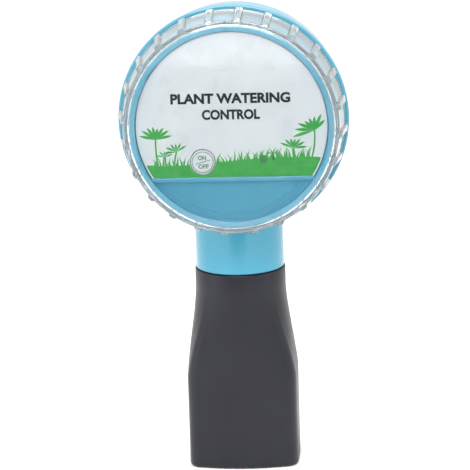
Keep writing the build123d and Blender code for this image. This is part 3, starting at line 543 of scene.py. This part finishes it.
def join(name, meshes):
    """One mesh from several, each still a closed solid of its own."""
    points, faces = [], []
    for mesh in meshes:
        base_count = len(points)
        points += [tuple(v.co) for v in mesh.vertices]
        faces += [tuple(i + base_count for i in face.vertices) for face in mesh.polygons]
        bpy.data.meshes.remove(mesh)
    joined = bpy.data.meshes.new(name)
    joined.from_pydata(points, [], faces)
    joined.validate()
    return joined


piece("garden-print", join("garden-print", ink_meshes), green_ink, "head", sharp=20)


def wording(name, text, place, cap_height, width, body="head", back=panel_front, ink=grey_ink):
    """A line of printed capitals, fitted to a width, over a place given as (centre x, foot z)."""
    curve = bpy.data.curves.new(name, "FONT")
    curve.body = text
    curve.align_x = "CENTER"
    curve.size = cap_height / 0.7
    curve.extrude = ink_depth / 2
    curve.offset = 0.06 * cap_height
    curve.resolution_u = 4
    obj = bpy.data.objects.new(name, curve)
    bpy.context.scene.collection.objects.link(obj)
    bpy.context.view_layer.update()
    stretch = width / obj.dimensions.x
    mesh = bpy.data.meshes.new_from_object(obj.evaluated_get(bpy.context.evaluated_depsgraph_get()))
    mesh.transform(
        Matrix.Translation((place[0], back - ink_depth / 2, head_z + place[1]))
        @ Matrix.Rotation(radians(90), 4, "X") @ Matrix.Diagonal((stretch, 1, 1, 1))
    )
    bpy.data.objects.remove(obj)
    piece(name, mesh, ink, body, sharp=20)


wording("wording-upper", "PLANT WATERING", (-0.2 * mm, 10.4 * mm), 4.0 * mm, 50.5 * mm)
wording("wording-lower", "CONTROL", (-0.2 * mm, 3.5 * mm), 3.9 * mm, 24.5 * mm)


# --- Power button and lamp ----------------------------------------------------------------
# The button is a separate pale ABS cap on a return spring, printed with a thin ring and
# ON over OFF. The lamp's green light guide is pressed through the panel beside it.

# a cap this small fills fast, so its skin is even and only softly shiny
pale_abs, shader = finish("pale moulded ABS", "#F1F3F2", 0.3, IOR=1.53)
mottle(pale_abs, shader, "#EEF1F0", "#F5F6F5", 4 * mm)
emboss(pale_abs, shader, 0.7 * mm, 0.005 * mm, edge=0.2 * mm)
clothe(pale_abs, "power_button")
# pad printing is thin, so the pale cap shows through it
soft_ink, shader = finish("pad-printed grey-green ink", "#7D9A88", 0.4, IOR=1.5)
mottle(soft_ink, shader, "#769281", "#87A391", 2 * mm)

ring_outer, ring_inner, ring_steps = 4.6 * mm, 4.25 * mm, 64
ring_turns = [2 * pi * step / ring_steps for step in range(ring_steps)]
ring_rows = [
    [(button_x + r * cos(turn), y, head_z + button_z + r * sin(turn)) for turn in ring_turns]
    for r, y in (
        (ring_outer, button_front), (ring_outer, button_front - ink_depth),
        (ring_inner, button_front - ink_depth), (ring_inner, button_front),
    )
]
ring_mesh = skin("button-ring", ring_rows, closed=True)
piece("button-ring", ring_mesh, soft_ink, "button", sharp=20)
slash = [(-3.1, -0.75), (-3.0, -1.05), (3.1, 0.75), (3.0, 1.05)]
slash = [(button_x + x * mm, button_z + z * mm) for x, z in slash]
piece("button-slash", printed("button-slash", slash, button_front), soft_ink, "button")
for name, text, shift_x, shift_z, width in (
    ("button-on", "ON", -0.2, 1.0, 3.5),
    ("button-off", "OFF", 0.3, -2.7, 4.4),
):
    place = (button_x + shift_x * mm, button_z + shift_z * mm)
    wording(name, text, place, 1.75 * mm, width * mm, "button", button_front, soft_ink)

# a tinted moulding, clear enough to pass the lamp's light but dark while it is off
green_lens, shader = finish(
    "green-tinted acrylic light guide", "#5FAA70", 0.15, IOR=1.49, Transmission_Weight=0.2,
)
mottle(green_lens, shader, "#58A469", "#68B379", 1.5 * mm)
emboss(green_lens, shader, 0.6 * mm, 0.01 * mm, edge=0.2 * mm)
clothe(green_lens, "led_lens", "indicator_led")


# --- Clear cover --------------------------------------------------------------------------
# A deep cup in water-clear polycarbonate with a flat window. Its skirt flares to the rear,
# carries grip ribs all round, and screws onto the front housing by four short lugs inside.

cover_low, cover_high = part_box("clear_cover")
cover_front, cover_rear = cover_low[1], cover_high[1]
front_radius = 45.7 * mm
rear_radius = 48.1 * mm
cover_wall = 1.8 * mm
window = 1.7 * mm
rib_count = 24
rib_height = 1.0 * mm
rib_width = 3.6 * mm
rib_start = radians(4.7)
rib_flank, rib_end = 0.9 * mm, 1.1 * mm
rib_front_gap, rib_rear_gap = 0.5 * mm, 0.4 * mm
front_round = 0.9 * mm
inside_round = 1.2 * mm
seat_depth = 1.3 * mm
seat_radius = 46.6 * mm
slope = (rear_radius - front_radius) / (cover_rear - cover_front)
# polished steel tools leave it clear and mirror-bright, with a slow ripple in its reflections
polycarbonate, shader = finish(
    "clear polished polycarbonate", "#F6FAFB", 0.03, IOR=1.585, Transmission_Weight=1.0,
)
roughen(polycarbonate, shader, 0.015, 0.06, 12 * mm)
# the window is clear, while the skirt keeps a faint white haze from the mould's draw
haze_from, haze_to = 42.8 * mm, 44.2 * mm
place = add(polycarbonate, "TexCoord").outputs["Object"]
from_axis = add(polycarbonate, "VectorMath", {"operation": "SUBTRACT"}, {0: place, 1: (0, 0, head_z)})
across_axis = add(polycarbonate, "VectorMath", {"operation": "MULTIPLY"}, {
    0: from_axis.outputs["Vector"], 1: (1, 0, 1),
})
reach_out = add(polycarbonate, "VectorMath", {"operation": "LENGTH"}, {
    0: across_axis.outputs["Vector"],
})
clearness = add(polycarbonate, "MapRange", None, {
    "Value": reach_out.outputs["Value"], "From Min": haze_from, "From Max": haze_to,
    "To Min": 1.0, "To Max": 0.93,
})
polycarbonate.node_tree.links.new(clearness.outputs["Result"], shader.inputs["Transmission Weight"])
emboss(polycarbonate, shader, 7 * mm, 0.006 * mm, detail=1.0)


def rib_rise(turn, y):
    """How far a rib stands out at a place on the skirt, rounded off at its sides and ends."""
    pitch = 2 * pi / rib_count
    off = abs((turn - rib_start + pitch / 2) % pitch - pitch / 2) * (front_radius + rear_radius) / 2
    side = min(max((rib_width / 2 - off) / rib_flank, 0), 1)
    end = min(y - cover_front - rib_front_gap, cover_rear - rib_rear_gap - y) / rib_end
    end = min(max(end, 0), 1)
    return rib_height * 0.98 * sqrt(1 - (1 - side) ** 2) * sqrt(1 - (1 - end) ** 2)


rib_detail = 26
turns = [2 * pi * i / (rib_count * rib_detail) for i in range(rib_count * rib_detail)]


def cover_ring(radius, y, ribbed):
    """One ring of the cover, with its ribs outside."""
    ring = []
    for turn in turns:
        r = radius + (rib_rise(turn, y) if ribbed else 0)
        ring.append((r * sin(turn), y, head_z + r * cos(turn)))
    return ring


# the section runs over the window and down the skirt, round the gasket's seat, and back inside;
# each place on it is (radius, y, whether ribs stand on it)
profile = [(radius * mm, cover_front, False) for radius in (6, 14, 24, 34, 42, 44.2)]
for angle in (0, 22, 45, 67, 90):
    turn = radians(angle)
    y = cover_front + front_round * (1 - cos(turn))
    profile.append((front_radius - front_round * (1 - sin(turn)), y, angle > 45))
skirt_rows, wall_rows = 34, 12
skirt_length = cover_rear - cover_front - front_round - 0.3 * mm
for step in range(1, skirt_rows + 1):
    y = cover_front + front_round + skirt_length * (step / skirt_rows)
    profile.append((front_radius + slope * (y - cover_front), y, True))
outside_end = profile[-1][0]
seat_front = cover_rear - seat_depth
inside_rear = rear_radius - cover_wall - slope * seat_depth
profile += [
    (outside_end - 0.12 * mm, cover_rear - 0.08 * mm, False),
    (outside_end - 0.4 * mm, cover_rear, False),
    (seat_radius + 0.1 * mm, cover_rear, False),
    (seat_radius, cover_rear - 0.1 * mm, False),
    (seat_radius, seat_front, False),
    (inside_rear, seat_front, False),
]
inside_front = front_radius - cover_wall + slope * window
window_back = cover_front + window
for step in range(1, wall_rows):
    t = step / wall_rows
    y = seat_front + (window_back + inside_round - seat_front) * t
    radius = inside_rear + (inside_front + slope * inside_round - inside_rear) * t
    profile.append((radius, y, False))
for angle in (0, 30, 60, 90):
    turn = radians(angle)
    y = window_back + inside_round * (1 - sin(turn))
    profile.append((inside_front - inside_round * (1 - cos(turn)), y, False))
profile += [(radius * mm, window_back, False) for radius in (40, 30, 20, 8)]
rings = [cover_ring(radius, y, ribbed) for radius, y, ribbed in profile]
piece(
    "cover-moulding", skin("cover-moulding", rings), polycarbonate, "cover",
    sharp=50, replaces=["clear_cover"],
)

# four short lugs stand inside the skirt and follow the thread, which climbs 16 mm in a turn;
# their outline is radius and half thickness in millimetres
lug_lead = 16 * mm
lug_start = cover_rear - 2.19 * mm
lug_sweep, lug_step = 30, 2        # in degrees
lug_outline = (
    (46.3, 0.72), (44.05, 0.46), (43.97, 0.36), (43.97, -0.36), (44.05, -0.46), (46.3, -0.72),
)
lug_meshes = []
for first in (20, 110, 200, 290):
    rows = []
    for sweep in range(0, lug_sweep + 1, lug_step):
        turn = radians(first + sweep)
        y = lug_start - lug_lead * sweep / 360
        rows.append([
            (r * mm * cos(turn), y + half * mm, head_z + r * mm * sin(turn)) for r, half in lug_outline
        ])
    lug_meshes.append(skin("lug", rows))
lugs = join("cover-lugs", lug_meshes)
piece("cover-lugs", lugs, polycarbonate, "cover", sharp=30)


# --- Seals and hoses in silicone ----------------------------------------------------------
# The cover's gasket and the inside hoses are extruded or moulded translucent silicone, which
# looks milky and soft beside the clear plastics.

# the mould or die leaves silicone dull, and light sinks a little way into it
silicone, shader = finish(
    "translucent silicone rubber", "#DDE3E4", 0.42, IOR=1.41, Transmission_Weight=0.4,
)
mottle(silicone, shader, "#D8DFE0", "#E4E9E9", 5 * mm)
emboss(silicone, shader, 0.8 * mm, 0.01 * mm, edge=0.2 * mm)
clothe(silicone, "cover_gasket", "inlet_hose", "outlet_hose")


# --- Control board ------------------------------------------------------------------------
# A round glass-epoxy board under green solder mask, with its moulded packages, a shielded
# wireless module, a sleeved capacitor and two white lead sockets.

# solder mask flows out glossy over the copper, and its green deepens where it pools
board_green, shader = finish("green solder mask on glass epoxy", "#1E6B3C", 0.28, IOR=1.5)
mottle(board_green, shader, "#1B6337", "#257544", 3 * mm)
emboss(board_green, shader, 1.2 * mm, 0.02 * mm, edge=0.1 * mm)
clothe(board_green, "control_board", "wireless_module")
# transfer-moulded epoxy is a matt, slightly gritty black
epoxy, shader = finish("moulded black epoxy", "#232325", 0.5, IOR=1.5)
mottle(epoxy, shader, "#202022", "#2B2B2D", 1 * mm)
emboss(epoxy, shader, 0.3 * mm, 0.01 * mm, edge=0.15 * mm)
clothe(epoxy, "control_chip", "driver_chip")
# shrunk PVC sleeve, glossy and dark blue, drawn tight over the can
sleeve, shader = finish("shrink sleeve on an aluminium can", "#24304F", 0.25, IOR=1.5)
mottle(sleeve, shader, "#202B48", "#2C3A5C", 2 * mm)
emboss(sleeve, shader, 1 * mm, 0.01 * mm, edge=0.3 * mm)
clothe(sleeve, "power_capacitor")
# bright tin on a pressed lid, softened by fine scuffs
tin, shader = finish("tin-plated shield", "#C4C5C2", 0.3, Metallic=1.0)
roughen(tin, shader, 0.22, 0.4, 2 * mm)
emboss(tin, shader, 1.5 * mm, 0.01 * mm, edge=0.2 * mm)
clothe(tin, "module_shield")
# unpigmented nylon is a milky off-white that light enters
white_nylon, shader = finish("natural white nylon", "#DAD8CE", 0.45, IOR=1.53, Subsurface_Weight=0.1)
mottle(white_nylon, shader, "#D5D3C8", "#E0DED5", 4 * mm)
emboss(white_nylon, shader, 0.7 * mm, 0.01 * mm, edge=0.25 * mm)
clothe(
    white_nylon, "lead_sockets", "motor_end_cap", "pump_case", "wobble_plate", "valve_plate",
    "pump_cover", "eccentric",
)
# extruded PVC is evenly coloured and lightly shiny along the wire
insulation, shader = finish("red PVC insulation", "#A81F24", 0.35, IOR=1.53)
mottle(insulation, shader, "#A01D22", "#B4272C", 3 * mm)
emboss(insulation, shader, 1 * mm, 0.01 * mm)
clothe(insulation, "battery_leads", "motor_leads")


# --- Pump motor ---------------------------------------------------------------------------
# The motor's core is a stack of punched steel, wound with enamelled copper, between two
# pressed ferrite magnets.

# punching leaves dull grey edges, stacked a third of a millimetre apart
core_steel, shader = finish("punched steel laminations", "#8A8B8D", 0.4, Metallic=1.0)
mottle(core_steel, shader, "#828385", "#949597", 1 * mm)
emboss(core_steel, shader, 0.35 * mm, 0.02 * mm, edge=0.1 * mm)
clothe(core_steel, "motor_rotor")
# the enamel leaves the copper glossy and a little brown, turn beside turn
copper, shader = finish("enamelled copper winding", "#B4682F", 0.3, Metallic=1.0)
mottle(copper, shader, "#A85E29", "#C07638", 0.6 * mm)
emboss(copper, shader, 0.3 * mm, 0.05 * mm)
clothe(copper, "rotor_winding")
# pressed and fired like a ceramic, so it is a matt charcoal
ferrite, shader = finish("pressed ferrite", "#3A3A3D", 0.6, IOR=1.9)
mottle(ferrite, shader, "#343437", "#434346", 2 * mm)
emboss(ferrite, shader, 0.4 * mm, 0.02 * mm, edge=0.2 * mm)
clothe(ferrite, "motor_magnets")


# --- Water ports --------------------------------------------------------------------------
# Two grooved spigots in black glass-filled nylon, held through the back by nuts, take the
# garden's micro tube.

# glass fibres reach the skin and leave it dull and faintly streaked
filled_nylon, shader = finish("black glass-filled nylon", "#252528", 0.46, IOR=1.54)
mottle(filled_nylon, shader, "#202023", "#2E2E32", 2 * mm)
emboss(filled_nylon, shader, 0.5 * mm, 0.015 * mm, edge=0.2 * mm)
clothe(filled_nylon, "inlet_port", "outlet_port")


# --- Table, lights and camera -------------------------------------------------------------
# A pale painted table under a white tent: big soft lights at both sides and above, with the
# camera's side left a little darker.

# rolled matt paint, nearly white, which only shows its own soft shadows
paint, shader = finish("pale matt paint", "#F4F4F4", 0.6)
mottle(paint, shader, "#F2F2F2", "#F7F7F7", 400 * mm)
emboss(paint, shader, 3 * mm, 0.01 * mm)


def sheet(name, left, right, near, far, height, material):
    """A flat sheet lying level, which is staging and no part of the controller."""
    mesh = bpy.data.meshes.new(name)
    corners = ((left, near), (right, near), (right, far), (left, far))
    mesh.from_pydata([(x, y, height) for x, y in corners], [], [(0, 1, 2, 3)])
    mesh.materials.append(material)
    obj = bpy.data.objects.new(name, mesh)
    bpy.context.scene.collection.objects.link(obj)
    return obj


half_table = 6.0
sheet("table", -half_table, half_table, -half_table, half_table, 0, paint)

# the tent is a little darker on the camera's side
world = bpy.data.worlds.new("white tent")
bpy.context.scene.world = world
world.use_nodes = True
tent = world.node_tree.nodes["Background"]
direction = add(world, "TexCoord").outputs["Generated"]
toward = add(world, "SeparateXYZ", None, {"Vector": direction}).outputs["Y"]
fall = add(world, "MapRange", {"interpolation_type": "SMOOTHSTEP"}, {
    "Value": toward, "From Min": -0.95, "From Max": -0.1, "To Min": 0.85, "To Max": 1.0,
})
world.node_tree.links.new(fall.outputs["Result"], tent.inputs["Strength"])
tent.inputs["Color"].default_value = (1.0, 1.0, 1.0, 1.0)


middle = Vector((0, 0, (cad_box[0][2] + cad_box[1][2]) / 2))


def softbox(name, place, width, height, watts):
    """A rectangular soft light turned to the object's middle."""
    light = bpy.data.lights.new(name, "AREA")
    light.shape = "RECTANGLE"
    light.size, light.size_y = width, height
    light.energy = watts
    obj = bpy.data.objects.new(name, light)
    obj.location = place
    obj.rotation_euler = (middle - Vector(place)).to_track_quat("-Z", "Y").to_euler()
    bpy.context.scene.collection.objects.link(obj)


softbox("left-light", (-0.75, -0.35, 0.25), 0.5, 0.8, 1.6)
softbox("right-light", (0.85, -0.30, 0.25), 0.4, 0.8, 0.7)
softbox("top-light", (0.0, 0.1, 0.95), 0.8, 0.6, 4.0)
softbox("key-light", (0.0, -0.85, 1.05), 1.0, 0.7, 18.0)

# a black card lies before the object, out of shot, as a painted reflection: the window and the clear
# plastic show it dark in place of the white table, while it casts no shadow and lights nothing else;
# only mirrored and refracted light meets it
reflection_card_paper, shader = finish("black card", "#2A2A2A", 0.9)
mottle(reflection_card_paper, shader, "#282828", "#2C2C2C", 50 * mm)
card = sheet("black-card", -0.2, 0.16, -1.1, -0.42, 1 * mm, reflection_card_paper)
for rays in ("visible_camera", "visible_diffuse", "visible_shadow"):
    setattr(card, rays, False)

# the camera looks slightly down and from the right, a little tilted
azimuth, elevation, roll = radians(3.32), radians(13.69), radians(-1.74)
distance = 1.1018
aim = Vector((-1.95, 0, 102.05)) * mm
back = Vector((sin(azimuth) * cos(elevation), -cos(azimuth) * cos(elevation), sin(elevation)))
level = Vector((cos(azimuth), sin(azimuth), 0))
rise = back.cross(level)
right = cos(roll) * level + sin(roll) * rise
up = cos(roll) * rise - sin(roll) * level
eye = bpy.data.cameras.new("camera")
eye.sensor_width = 36
eye.lens = 191.5
camera = bpy.data.objects.new("camera", eye)
stand = aim + back * distance
camera.matrix_world = Matrix((
    (right.x, up.x, back.x, stand.x),
    (right.y, up.y, back.y, stand.y),
    (right.z, up.z, back.z, stand.z),
    (0, 0, 0, 1),
))
bpy.context.scene.collection.objects.link(camera)
bpy.context.scene.camera = camera
bpy.context.scene.view_settings.view_transform = "Standard"
